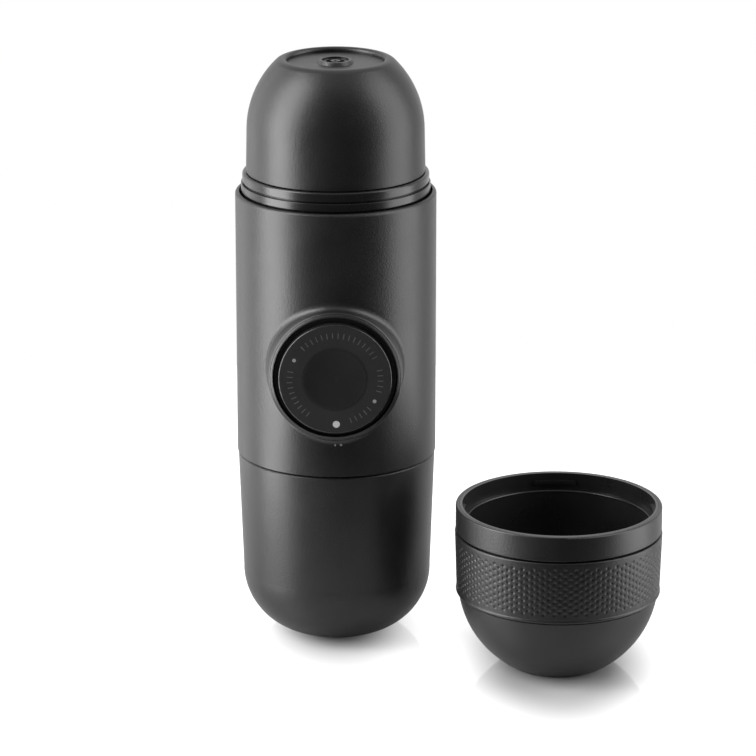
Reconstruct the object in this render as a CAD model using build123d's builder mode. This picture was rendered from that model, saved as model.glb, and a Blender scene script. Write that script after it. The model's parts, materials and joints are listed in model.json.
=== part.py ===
"""Handheld manual espresso maker with a side piston, standing on its water tank, and its travel cup.

Millimetres, +Z up. The origin is the centre of the tank's flat foot. The piston knob faces -Y.
The pieces stack upwards from the foot, so each height is worked out from the pieces below it.
"""

import os
from math import degrees, hypot, sqrt

from build123d import *

os.makedirs("parts", exist_ok=True)

# ---------------------------------------------------------------- clearances
glue_fit = 0.05  # between pieces that are pressed, glued or screwed together
running_fit = 0.05  # radial play of a shaft in its bore
slip = 0.3  # between pieces that pass each other by hand
shell_play = 0.1  # between an inner frame and the shell around it
seam = 0.5  # open line between the tank and the body
loose = 0.4  # between pieces that never touch

# ---------------------------------------------------------------- coffee capsule and the walls round it
capsule_flange_radius = 18.8
capsule_flange_width = 3.6
capsule_flange_depth = 1.0
holder_flange_wall = 1.4
neck_wall = 1.7
dome_thread_gap = 0.4
dome_thread_wall = 2.2
collar_ledge = 1.5
collar_step = 0.4
body_rim_width = 1.7

# ---------------------------------------------------------------- water tank
tank_foot_radius = 13.0
tank_haunch_height = 19.0
haunch_middle_out = 0.68
haunch_middle_up = 0.315
tank_draft = 1.25
tank_rim_step = 0.25
tank_height = 54.5
tank_wall = 2.6
tank_floor = 2.8
tank_rim_chamfer = 0.4
tank_neck_wall = 3.5
tank_neck_depth = 10.6
thread_height = 0.6
thread_width = 1.4
thread_lead = 3.0
tank_seal_thickness = 1.8
tank_seal_width = 1.7

# ---------------------------------------------------------------- body shell
body_wall = 2.2
body_lip_wall = 1.1
body_bottom_rebate = 1.2
body_shoulder = 0.9
boss_rise = 3.0
boss_wall = 1.3
boss_draft = 0.6
boss_fillet = 2.2

# ---------------------------------------------------------------- bulkhead over the tank
bulkhead_collar_depth = 8.0
bulkhead_collar_wall = 2.3
bulkhead_thickness = 5.0
leg_length = 6.7
inlet_bore_radius = 1.2
strainer_radius = 2.1
strainer_thickness = 0.8
strainer_hole_radius = 0.35
strainer_hole_count = 6
vent_tube_gap = 0.45
vent_tube_radius = 2.0
vent_tube_bore_radius = 1.2
vent_tube_socket = 2.5
vent_tube_foot_gap = 12.0
vent_valve_radius = 2.6
vent_valve_thickness = 1.0

# ---------------------------------------------------------------- piston pump, lying along Y
stroke = 18.0
cylinder_front_margin = 3.0
cylinder_bore_radius = 6.2
cylinder_wall = 3.3
cylinder_shoulder = 2.5
cylinder_shoulder_length = 5.0
spring_seat_thickness = 3.0
piston_length = 5.2
piston_groove_width = 2.0
piston_groove_depth = 1.3
pump_dead_space = 3.3
port_offset = 1.9
rod_radius = 4.0
end_cap_step = 0.5
end_cap_thickness = 2.5
end_cap_back_gap = 0.96
end_cap_screw_inset = 1.7
end_cap_screw_count = 4
end_cap_seal_margin = 0.8
end_cap_seal_width = 1.5
end_cap_seal_thickness = 0.8
sleeve_wall = 3.0
valve_post_radius = 4.0
valve_radius = 2.6
valve_length = 5.0
valve_cuff_length = 1.7
guide_wall = 1.5
guide_flange_thickness = 2.5
strut_x = 9.0
strut_y = -6.0
strut_radius = 3.0

# ---------------------------------------------------------------- piston knob
knob_radius = 17.4
knob_rim_width = 1.3
knob_rim_thickness = 2.0
knob_rim_drop = 3.1
knob_rise = 2.3
knob_skirt_wall = 1.6
knob_skirt_gap = 3.0
knob_cap_radius = 9.1
knob_cap_thickness = 1.0
knob_cap_dish = 0.5
knob_hub_wall = 2.0
knob_hub_length = 5.5
knob_screw_grip = 8.0
knob_edge = 0.4
spring_coil_radius = 10.5
spring_wire_radius = 0.6
spring_turns = 8

# ---------------------------------------------------------------- screws
screw_radius = 1.2
screw_head_radius = 2.3
screw_head_height = 1.6
screw_recess_depth = 2.0
small_screw_radius = 0.8
small_screw_head_radius = 1.5
small_screw_length = 6.0
small_screw_head_height = 1.1
strut_hole_wall = 1.0
hole_play = 0.1

# ---------------------------------------------------------------- brew chamber
chassis_gap = 0.9
chassis_floor_thickness = 7.5
channel_depth = 2.5
channel_radius = 1.4
neck_thread_drop = 2.5
neck_rise = 17.35
collar_seat_depth = 3.65
collar_flange_thickness = 2.0
plug_radius = 1.7
plug_length = 4.0
collar_rise = 5.75
collar_foot_rise = 0.45
collar_band_height = 2.6
collar_groove_width = 0.45
collar_groove_depth = 0.5
collar_top_round = 0.8
collar_band_round = 0.2
injector_margin = 1.9
injector_thickness = 1.5
needle_radius = 1.1
needle_length = 6.0
needle_circle_radius = 5.0
needle_tip_radius = 0.25
needle_count = 3
chamber_seal_margin = 0.2
chamber_seal_width = 5.5
chamber_seal_thickness = 3.5
holder_length = 31.1
holder_flange_thickness = 2.6
holder_wall = 1.9
holder_taper = 1.9
holder_floor = 2.0
holder_floor_width = 4.8
holder_neck_gap = 0.4

# ---------------------------------------------------------------- outlet head
dome_gap = 0.25
dome_draft = 0.25
dome_shoulder_height = 12.35
dome_shoulder_wall = 3.65
dome_shoulder_width = 8.3
dome_crown_drop = 0.9
dome_crown_width = 2.4
dome_lip_width = 0.9
dome_height = 32.6
dome_recess_depth = 1.3
dome_roof = 2.3
dome_roof_inset = 0.9
gasket_width = 1.6
gasket_thickness = 1.0
pierce_plate_thickness = 0.9
pierce_pin_radius = 1.0
pierce_pin_length = 1.6
pierce_pin_circle_radius = 5.5
pierce_pin_count = 6
pierce_drain_radius = 0.6
pierce_drain_circle_radius = 8.2
pierce_drain_count = 12
funnel_flange_thickness = 2.5
funnel_mouth_step = 1.3
funnel_height = 9.0
funnel_wall = 1.8
funnel_tube_gap = 0.8
spout_radius = 5.3
spout_lip_radius = 4.6
spout_height = 0.9
spout_well_radius = 3.9
spout_well_depth = 0.5
spout_throat_radius = 2.7
spout_throat_depth = 1.3
spout_stem_radius = 3.4
spout_stem_length = 8.0
spout_tube_radius = 1.4
spout_bore_radius = 0.5

# ---------------------------------------------------------------- travel cup
cup_x = 64.0
cup_y = -32.0
cup_height = 48.0
cup_foot_radius = 13.6
cup_rim_wall = 1.2
cup_rim_lip = 0.7
cup_rim_height = 7.3
cup_rim_round = 0.4
cup_band_rise = 0.2
cup_band_draft = 0.6
cup_band_wall = 1.0
cup_band_bottom = 21.6
cup_band_chamfer = 0.5
cup_wall = 1.6
cup_floor = 1.6
cup_groove = 0.4
liner_wall = 1.1
liner_rim_wall = 0.7
liner_ledge_depth = 5.1
liner_floor_height = 3.2
lug_depth = 2.2
lug_height = 1.0
lug_reach = 0.7
lug_width = 12.5
lug_count = 4

# ================================================================ radii that follow from the capsule
holder_inner_radius = capsule_flange_radius - capsule_flange_width
holder_radius = holder_inner_radius + holder_wall
chamber_radius = holder_radius + slip
injector_radius = chamber_radius - injector_margin
chamber_seal_outer_radius = holder_radius - holder_taper - chamber_seal_margin
chamber_seal_inner_radius = chamber_seal_outer_radius - chamber_seal_width
holder_floor_bore_radius = holder_inner_radius - holder_taper - holder_floor_width
holder_flange_radius = capsule_flange_radius + holder_flange_wall
neck_ledge_radius = holder_flange_radius + loose
neck_radius = neck_ledge_radius + neck_wall
dome_thread_radius = neck_radius + thread_height + slip + dome_thread_gap
dome_base_radius = dome_thread_radius + dome_thread_wall
dome_shoulder_radius = dome_base_radius - dome_draft
dome_crown_radius = dome_shoulder_radius - dome_shoulder_width
dome_rim_radius = dome_crown_radius - dome_crown_width
dome_recess_radius = dome_rim_radius - dome_lip_width
collar_lower_radius = dome_base_radius + collar_ledge
collar_upper_radius = collar_lower_radius - collar_step
body_radius = collar_lower_radius + body_rim_width
body_inner_radius = body_radius - body_wall
body_lip_radius = body_radius - body_lip_wall
frame_radius = body_inner_radius - shell_play
tank_rim_radius = body_radius - tank_rim_step
tank_haunch_radius = tank_rim_radius - tank_draft
tank_neck_radius = tank_rim_radius - tank_neck_wall

# ================================================================ radii of the knob and the pump
knob_face_radius = knob_radius - knob_rim_width
knob_skirt_radius = knob_radius - knob_skirt_wall
knob_hub_radius = rod_radius + knob_hub_wall
guide_bore_radius = knob_radius + slip
guide_outer_radius = guide_bore_radius + guide_wall
boss_radius = guide_bore_radius + boss_wall
spring_seat_radius = knob_skirt_radius - loose
piston_radius = cylinder_bore_radius - slip
piston_groove_radius = piston_radius - piston_groove_depth
cylinder_outer_radius = cylinder_bore_radius + cylinder_wall
cylinder_shoulder_radius = cylinder_outer_radius + cylinder_shoulder
sleeve_radius = cylinder_outer_radius + sleeve_wall
end_cap_radius = sleeve_radius - end_cap_step
end_cap_screw_circle_radius = sleeve_radius - end_cap_screw_inset
end_cap_seal_inner_radius = cylinder_bore_radius + end_cap_seal_margin

# ================================================================ heights and depths that follow
body_bottom = tank_height + seam
bulkhead_top = body_bottom + bulkhead_thickness
knob_z = bulkhead_top + leg_length + guide_outer_radius
chassis_bottom = knob_z + guide_outer_radius + chassis_gap
chassis_floor_top = chassis_bottom + chassis_floor_thickness
injector_top = chassis_floor_top + injector_thickness
holder_bottom = injector_top + chamber_seal_thickness
holder_top = holder_bottom + holder_length
neck_top = holder_top + holder_neck_gap
body_top = neck_top - neck_rise
collar_seat = body_top - collar_seat_depth
collar_top = body_top + collar_rise
dome_bottom = collar_top + dome_gap
dome_top = dome_bottom + dome_height
funnel_bottom = neck_top + gasket_thickness
funnel_flange_top = funnel_bottom + funnel_flange_thickness

boss_front_y = -(body_radius + boss_rise)
knob_front_y = boss_front_y - knob_rise
knob_rim_y = knob_front_y + knob_rim_drop
knob_back_y = knob_rim_y + knob_rim_thickness
guide_front_y = -sqrt(body_inner_radius**2 - guide_outer_radius**2) + loose
pump_rear_y = sqrt(body_inner_radius**2 - end_cap_radius**2) - end_cap_thickness - end_cap_back_gap
piston_front_y = pump_rear_y - pump_dead_space
piston_back_y = piston_front_y - piston_length
port_y = pump_rear_y - port_offset
spring_seat_front_y = piston_back_y - stroke - cylinder_front_margin
spring_seat_back_y = spring_seat_front_y + spring_seat_thickness
guide_back_y = spring_seat_back_y + cylinder_shoulder_length
skirt_back_y = guide_back_y - knob_skirt_gap

pump_axis = Axis((0, 0, knob_z), (0, 1, 0))
pump_section = Plane(origin=(0, 0, knob_z), x_dir=(0, 1, 0), z_dir=(1, 0, 0))


def across(y):
    """Plane square to the pump's axis at depth y, facing +Y."""
    return Plane(origin=(0, y, knob_z), x_dir=(1, 0, 0), z_dir=(0, 1, 0))


def section(plane, *points):
    """Closed straight-sided outline on a plane."""
    with BuildSketch(plane) as outline:
        with BuildLine():
            Polyline(*points, close=True)
        make_face()
    return outline.sketch


def ring_section(inner, outer, bottom, top, plane=Plane.XZ):
    """Rectangle between two radii and two heights, for a turned ring."""
    return section(plane, (inner, bottom), (outer, bottom), (outer, top), (inner, top))


# ================================================================ shared shapes
def thread_ring(wall_radius, crest_radius, height):
    """Outline of one thread ring standing on a wall, with sloping flanks."""
    half = thread_width / 2
    root = half + abs(wall_radius - crest_radius)
    return section(
        Plane.XZ,
        (wall_radius, height - root),
        (crest_radius, height - half),
        (crest_radius, height + half),
        (wall_radius, height + root),
    )


def circles(piece, radius):
    """The piece's circular edges of one radius."""
    round_edges = piece.edges().filter_by(GeomType.CIRCLE)
    return round_edges.filter_by(lambda edge: abs(edge.radius - radius) < glue_fit)


def strut_screw_reach():
    """Half-height from the pump's axis at which a strut screw has to stop short of the guide bore."""
    return sqrt(guide_bore_radius**2 - (strut_x - screw_radius) ** 2) + strut_hole_wall


thread_rows = (1, 2)
strut_places = [(-strut_x, strut_y), (strut_x, strut_y)]

# ================================================================ water tank
tank_thread_crest = tank_neck_radius - thread_height
collar_thread_crest = tank_thread_crest - slip
collar_outer_radius = collar_thread_crest - thread_height
seal_inner_radius = collar_thread_crest + slip
seal_outer_radius = seal_inner_radius + tank_seal_width
seal_bottom = body_bottom - tank_seal_thickness
tank_neck_bottom = tank_height - tank_neck_depth


def haunch(foot_radius, foot_height, radius, height):
    """Rounded corner from the tank's foot up to its side, as an arc through a point near its middle."""
    middle = (
        foot_radius + haunch_middle_out * (radius - foot_radius),
        foot_height + haunch_middle_up * (height - foot_height),
    )
    return ThreePointArc((foot_radius, foot_height), middle, (radius, height))


with BuildPart() as tank_shell:
    with BuildSketch(Plane.XZ):
        with BuildLine():
            Line((0, 0), (tank_foot_radius, 0))
            haunch(tank_foot_radius, 0, tank_haunch_radius, tank_haunch_height)
            Line((tank_haunch_radius, tank_haunch_height), (tank_rim_radius, tank_height))
            Polyline((tank_rim_radius, tank_height), (0, tank_height), (0, 0))
        make_face()
    revolve(axis=Axis.Z)
    rim = tank_shell.edges().group_by(Axis.Z)[-1]
    chamfer(rim, length=tank_rim_chamfer)
    with BuildSketch(Plane.XZ):
        with BuildLine():
            Line((0, tank_floor), (tank_foot_radius - tank_wall, tank_floor))
            haunch(
                tank_foot_radius - tank_wall,
                tank_floor,
                tank_haunch_radius - tank_wall,
                tank_haunch_height,
            )
            Polyline(
                (tank_haunch_radius - tank_wall, tank_haunch_height),
                (tank_neck_radius, tank_neck_bottom),
                (tank_neck_radius, tank_height),
                (0, tank_height),
                (0, tank_floor),
            )
        make_face()
    revolve(axis=Axis.Z, mode=Mode.SUBTRACT)
    for row in thread_rows:
        revolve(thread_ring(tank_neck_radius, tank_thread_crest, tank_neck_bottom + row * thread_lead), axis=Axis.Z)
    revolve(ring_section(0, seal_outer_radius + slip, seal_bottom, tank_height), axis=Axis.Z, mode=Mode.SUBTRACT)

# The seal sits round the bulkhead's collar and closes on the tank's rebate.
with BuildPart() as tank_seal:
    revolve(ring_section(seal_inner_radius, seal_outer_radius, seal_bottom, body_bottom), axis=Axis.Z)

# ================================================================ body shell
body_rebate_top = body_bottom + body_bottom_rebate

with BuildPart() as body_shell:
    revolve(ring_section(body_inner_radius, body_radius, body_bottom, body_top), axis=Axis.Z)
    fillet(circles(body_shell, body_radius).sort_by(Axis.Z)[-1], radius=body_shoulder)
    # The boss that carries the piston knob stands out of the shell's front.
    boss = section(
        pump_section,
        (boss_front_y, 0),
        (boss_front_y, boss_radius),
        (guide_front_y, boss_radius + boss_draft),
        (guide_front_y, 0),
    )
    revolve(boss, axis=pump_axis)
    root_edges = body_shell.edges().filter_by(
        lambda edge: abs(hypot((edge @ 0.3).X, (edge @ 0.3).Y) - body_radius) < glue_fit
        and edge.geom_type != GeomType.CIRCLE
    )
    fillet(root_edges, radius=boss_fillet)
    fillet(circles(body_shell, boss_radius).sort_by(Axis.Y)[0], radius=body_shoulder)
    with BuildSketch(across(boss_front_y)):
        Circle(guide_bore_radius)
    extrude(amount=guide_front_y - boss_front_y, mode=Mode.SUBTRACT)
    # Rebates for the bulkhead's flange below and the cup collar above.
    revolve(ring_section(0, body_lip_radius, body_bottom, body_rebate_top), axis=Axis.Z, mode=Mode.SUBTRACT)
    revolve(ring_section(0, body_lip_radius, collar_seat, body_top), axis=Axis.Z, mode=Mode.SUBTRACT)

# ================================================================ bulkhead and its fittings
collar_bottom = body_bottom - bulkhead_collar_depth
collar_inner_radius = collar_outer_radius - bulkhead_collar_wall
vent_x = -(collar_inner_radius - vent_tube_radius - vent_tube_gap)

with BuildPart() as tank_bulkhead:
    revolve(ring_section(collar_inner_radius, collar_outer_radius, collar_bottom, body_bottom), axis=Axis.Z)
    for row in thread_rows:
        ring_height = tank_neck_bottom + (row + 0.5) * thread_lead
        revolve(thread_ring(collar_outer_radius, collar_thread_crest, ring_height), axis=Axis.Z)
    revolve(ring_section(0, body_lip_radius - shell_play, body_bottom, body_rebate_top), axis=Axis.Z)
    revolve(ring_section(0, frame_radius, body_rebate_top, bulkhead_top), axis=Axis.Z)
    with BuildSketch(Plane.XY.offset(body_bottom)):
        with Locations((0, port_y)):
            Circle(inlet_bore_radius)
        with Locations((vent_x, 0)):
            Circle(vent_tube_bore_radius)
        with Locations(strut_places):
            Circle(screw_radius + hole_play)
    extrude(amount=bulkhead_thickness, mode=Mode.SUBTRACT)
    with BuildSketch(Plane.XY.offset(body_bottom)):
        with Locations((0, port_y)):
            Circle(strainer_radius + glue_fit)
    extrude(amount=strainer_thickness, mode=Mode.SUBTRACT)
    with BuildSketch(Plane.XY.offset(body_bottom)):
        with Locations((vent_x, 0)):
            Circle(vent_tube_radius + glue_fit)
    extrude(amount=vent_tube_socket, mode=Mode.SUBTRACT)
    with BuildSketch(Plane.XY.offset(body_bottom)):
        with Locations(strut_places):
            Circle(screw_head_radius + slip)
    extrude(amount=screw_recess_depth, mode=Mode.SUBTRACT)

with BuildPart() as inlet_strainer:
    with BuildSketch(Plane.XY.offset(body_bottom)):
        with Locations((0, port_y)):
            Circle(strainer_radius)
            with PolarLocations(strainer_radius / 2, strainer_hole_count):
                Circle(strainer_hole_radius, mode=Mode.SUBTRACT)
            Circle(strainer_hole_radius, mode=Mode.SUBTRACT)
    extrude(amount=strainer_thickness)

with BuildPart() as vent_tube:
    with BuildSketch(Plane.XY.offset(vent_tube_foot_gap)):
        with Locations((vent_x, 0)):
            Circle(vent_tube_radius)
            Circle(vent_tube_bore_radius, mode=Mode.SUBTRACT)
    extrude(amount=body_bottom + vent_tube_socket - vent_tube_foot_gap)

with BuildPart() as vent_valve:
    with BuildSketch(Plane.XY.offset(bulkhead_top)):
        with Locations((vent_x, 0)):
            Circle(vent_valve_radius)
    extrude(amount=vent_valve_thickness)
    with BuildSketch(Plane.XY.offset(bulkhead_top)):
        with Locations((vent_x, 0)):
            Circle(vent_tube_bore_radius - hole_play)
    extrude(amount=-vent_valve_thickness)

bulkhead_screw_seat = body_bottom + screw_recess_depth
bulkhead_screw_tip = knob_z - strut_screw_reach()
with BuildPart() as bulkhead_screws:
    with BuildSketch(Plane.XY.offset(bulkhead_screw_seat)):
        with Locations(strut_places):
            Circle(screw_head_radius)
    extrude(amount=-screw_head_height)
    with BuildSketch(Plane.XY.offset(bulkhead_screw_seat)):
        with Locations(strut_places):
            Circle(screw_radius)
    extrude(amount=bulkhead_screw_tip - bulkhead_screw_seat)
    with BuildSketch(Plane.XY.offset(bulkhead_screw_seat - screw_head_height)):
        with Locations(strut_places):
            RegularPolygon(screw_radius, 6)
    extrude(amount=screw_head_height / 2, mode=Mode.SUBTRACT)

# ================================================================ pump housing and cylinder
chassis_screw_seat = chassis_floor_top - screw_recess_depth
chassis_screw_tip = knob_z + strut_screw_reach()
valve_pocket_length = valve_length + slip

with BuildPart() as pump_housing:
    with BuildSketch(across(guide_front_y)):
        Circle(guide_outer_radius)
    extrude(amount=guide_back_y + guide_flange_thickness - guide_front_y)
    with BuildSketch(across(guide_back_y)):
        Circle(sleeve_radius)
    extrude(amount=pump_rear_y - guide_back_y)
    with BuildSketch(Plane.XY.offset(bulkhead_top)):
        with Locations(strut_places):
            Circle(strut_radius)
        with Locations((0, port_y)):
            Circle(valve_post_radius)
    extrude(amount=chassis_bottom - bulkhead_top)
    with BuildSketch(across(guide_front_y)):
        Circle(guide_bore_radius)
    extrude(amount=guide_back_y - guide_front_y, mode=Mode.SUBTRACT)
    with BuildSketch(across(guide_back_y)):
        Circle(cylinder_outer_radius + glue_fit)
    extrude(amount=body_inner_radius - guide_back_y, mode=Mode.SUBTRACT)
    with BuildSketch(across(pump_rear_y)):
        Circle(end_cap_radius + slip)
    extrude(amount=body_inner_radius - pump_rear_y, mode=Mode.SUBTRACT)
    with BuildSketch(across(pump_rear_y)):
        with PolarLocations(end_cap_screw_circle_radius, end_cap_screw_count, start_angle=45):
            Circle(small_screw_radius + glue_fit)
    extrude(amount=-(small_screw_length - end_cap_thickness + slip), mode=Mode.SUBTRACT)
    # A valve pocket in each end of the post, and a port from each pocket to the cylinder.
    with BuildSketch(Plane.XY.offset(bulkhead_top)):
        with Locations((0, port_y)):
            Circle(valve_radius + glue_fit)
    extrude(amount=valve_pocket_length, mode=Mode.SUBTRACT)
    with BuildSketch(Plane.XY.offset(chassis_bottom)):
        with Locations((0, port_y)):
            Circle(valve_radius + glue_fit)
    extrude(amount=-valve_pocket_length, mode=Mode.SUBTRACT)
    with BuildSketch(Plane.XY.offset(bulkhead_top)):
        with Locations((0, port_y)):
            Circle(inlet_bore_radius)
    extrude(amount=chassis_bottom - bulkhead_top, mode=Mode.SUBTRACT)
    with BuildSketch(Plane.XY.offset(bulkhead_top)):
        with Locations(strut_places):
            Circle(screw_radius + glue_fit)
    extrude(amount=bulkhead_screw_tip + hole_play - bulkhead_top, mode=Mode.SUBTRACT)
    with BuildSketch(Plane.XY.offset(chassis_bottom)):
        with Locations(strut_places):
            Circle(screw_radius + glue_fit)
    extrude(amount=chassis_screw_tip - hole_play - chassis_bottom, mode=Mode.SUBTRACT)

with BuildPart() as pump_cylinder:
    outline = section(
        pump_section,
        (spring_seat_front_y, cylinder_bore_radius),
        (spring_seat_front_y, spring_seat_radius),
        (spring_seat_back_y, spring_seat_radius),
        (spring_seat_back_y, cylinder_shoulder_radius),
        (guide_back_y, cylinder_shoulder_radius),
        (guide_back_y, cylinder_outer_radius),
        (pump_rear_y, cylinder_outer_radius),
        (pump_rear_y, cylinder_bore_radius),
    )
    revolve(outline, axis=pump_axis)
    with BuildSketch(Plane.XY.offset(knob_z - cylinder_shoulder_radius)):
        with Locations((0, port_y)):
            Circle(inlet_bore_radius)
    extrude(amount=2 * cylinder_shoulder_radius, mode=Mode.SUBTRACT)

end_cap_seal_outer_radius = end_cap_seal_inner_radius + end_cap_seal_width
with BuildPart() as pump_end_cap:
    with BuildSketch(across(pump_rear_y)):
        Circle(end_cap_radius)
    extrude(amount=end_cap_thickness)
    with BuildSketch(across(pump_rear_y)):
        Circle(end_cap_seal_outer_radius + glue_fit)
        Circle(end_cap_seal_inner_radius - glue_fit, mode=Mode.SUBTRACT)
    extrude(amount=end_cap_seal_thickness, mode=Mode.SUBTRACT)
    with BuildSketch(across(pump_rear_y)):
        with PolarLocations(end_cap_screw_circle_radius, end_cap_screw_count, start_angle=45):
            Circle(small_screw_radius + hole_play)
    extrude(amount=end_cap_thickness, mode=Mode.SUBTRACT)

with BuildPart() as end_cap_seal:
    with BuildSketch(across(pump_rear_y)):
        Circle(end_cap_seal_outer_radius)
        Circle(end_cap_seal_inner_radius, mode=Mode.SUBTRACT)
    extrude(amount=end_cap_seal_thickness)

with BuildPart() as end_cap_screws:
    with BuildSketch(across(pump_rear_y + end_cap_thickness)):
        with PolarLocations(end_cap_screw_circle_radius, end_cap_screw_count, start_angle=45):
            Circle(small_screw_head_radius)
    extrude(amount=small_screw_head_height)
    with BuildSketch(across(pump_rear_y + end_cap_thickness)):
        with PolarLocations(end_cap_screw_circle_radius, end_cap_screw_count, start_angle=45):
            Circle(small_screw_radius)
    extrude(amount=-small_screw_length)

# Duckbill valves: a sleeve that narrows to a slit, one at each end of the post.
with BuildPart() as inlet_valve:
    with Locations((0, port_y, bulkhead_top)):
        Cone(valve_radius, valve_radius / 2, valve_length, align=(Align.CENTER, Align.CENTER, Align.MIN))
        Cylinder(valve_radius, valve_cuff_length, align=(Align.CENTER, Align.CENTER, Align.MIN))
    with Locations((0, port_y, bulkhead_top)):
        Cylinder(
            inlet_bore_radius / 2,
            valve_length,
            align=(Align.CENTER, Align.CENTER, Align.MIN),
            mode=Mode.SUBTRACT,
        )

with BuildPart() as outlet_valve:
    with Locations((0, port_y, chassis_bottom - valve_length)):
        Cone(valve_radius, valve_radius / 2, valve_length, align=(Align.CENTER, Align.CENTER, Align.MIN))
        Cylinder(valve_radius, valve_cuff_length, align=(Align.CENTER, Align.CENTER, Align.MIN))
    with Locations((0, port_y, chassis_bottom - valve_length)):
        Cylinder(
            inlet_bore_radius / 2,
            valve_length,
            align=(Align.CENTER, Align.CENTER, Align.MIN),
            mode=Mode.SUBTRACT,
        )

# ================================================================ piston, spring and knob
groove_middle_y = (piston_front_y + piston_back_y) / 2
groove_back_y = groove_middle_y - piston_groove_width / 2
groove_front_y = groove_middle_y + piston_groove_width / 2

with BuildPart() as piston_rod:
    outline = section(
        pump_section,
        (knob_back_y, 0),
        (knob_back_y, rod_radius),
        (piston_back_y, rod_radius),
        (piston_back_y, piston_radius),
        (groove_back_y, piston_radius),
        (groove_back_y, piston_groove_radius),
        (groove_front_y, piston_groove_radius),
        (groove_front_y, piston_radius),
        (piston_front_y, piston_radius),
        (piston_front_y, 0),
    )
    revolve(outline, axis=pump_axis)
    with BuildSketch(across(knob_back_y)):
        Circle(screw_radius + running_fit)
    extrude(amount=knob_screw_grip + slip, mode=Mode.SUBTRACT)

with BuildPart() as piston_seal:
    outline = ring_section(
        groove_back_y,
        groove_front_y,
        piston_groove_radius,
        cylinder_bore_radius - running_fit,
        plane=pump_section,
    )
    revolve(outline, axis=pump_axis)

spring_start_y = knob_back_y + spring_wire_radius + hole_play
spring_length = spring_seat_front_y - spring_wire_radius - hole_play - spring_start_y
with BuildPart() as return_spring:
    with BuildLine() as coil:
        Helix(
            pitch=spring_length / spring_turns,
            height=spring_length,
            radius=spring_coil_radius,
            center=(0, spring_start_y, knob_z),
            direction=(0, 1, 0),
        )
    with BuildSketch(Plane(origin=coil.line @ 0, z_dir=coil.line % 0)):
        Circle(spring_wire_radius)
    sweep()

knob_cap_back_y = knob_front_y + knob_cap_thickness
knob_screw_seat_y = knob_cap_back_y + screw_head_height + hole_play
with BuildPart() as knob:
    outline = section(
        pump_section,
        (knob_front_y, 0),
        (knob_front_y, knob_face_radius),
        (knob_rim_y, knob_face_radius),
        (knob_rim_y, knob_radius),
        (skirt_back_y, knob_radius),
        (skirt_back_y, knob_skirt_radius),
        (knob_back_y, knob_skirt_radius),
        (knob_back_y, knob_hub_radius),
        (knob_back_y + knob_hub_length, knob_hub_radius),
        (knob_back_y + knob_hub_length, rod_radius + running_fit),
        (knob_back_y, rod_radius + running_fit),
        (knob_back_y, 0),
    )
    revolve(outline, axis=pump_axis)
    face_edge = knob.edges().group_by(Axis.Y)[0]
    fillet(face_edge, radius=knob_edge)
    with BuildSketch(across(knob_front_y)):
        Circle(knob_cap_radius + glue_fit)
    extrude(amount=knob_cap_thickness, mode=Mode.SUBTRACT)
    with BuildSketch(across(knob_front_y)):
        Circle(screw_head_radius + hole_play)
    extrude(amount=knob_screw_seat_y - knob_front_y, mode=Mode.SUBTRACT)
    with BuildSketch(across(knob_front_y)):
        Circle(screw_radius + hole_play)
    extrude(amount=knob_back_y - knob_front_y, mode=Mode.SUBTRACT)

with BuildPart() as knob_center_cap:
    with BuildSketch(pump_section):
        with BuildLine():
            dish = TangentArc(
                (knob_front_y + knob_cap_dish, 0),
                (knob_front_y, knob_cap_radius - knob_edge),
                tangent=(0, 1),
            )
            Polyline(
                dish @ 1,
                (knob_front_y, knob_cap_radius),
                (knob_cap_back_y, knob_cap_radius),
                (knob_cap_back_y, 0),
                dish @ 0,
            )
        make_face()
    revolve(axis=pump_axis)

with BuildPart() as knob_screw:
    with BuildSketch(across(knob_screw_seat_y)):
        Circle(screw_head_radius)
    extrude(amount=-screw_head_height)
    with BuildSketch(across(knob_screw_seat_y)):
        Circle(screw_radius)
    extrude(amount=knob_back_y + knob_screw_grip - knob_screw_seat_y)

# ================================================================ brew chassis
channel_z = chassis_bottom + channel_depth
neck_ledge_z = holder_top - holder_flange_thickness

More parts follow.
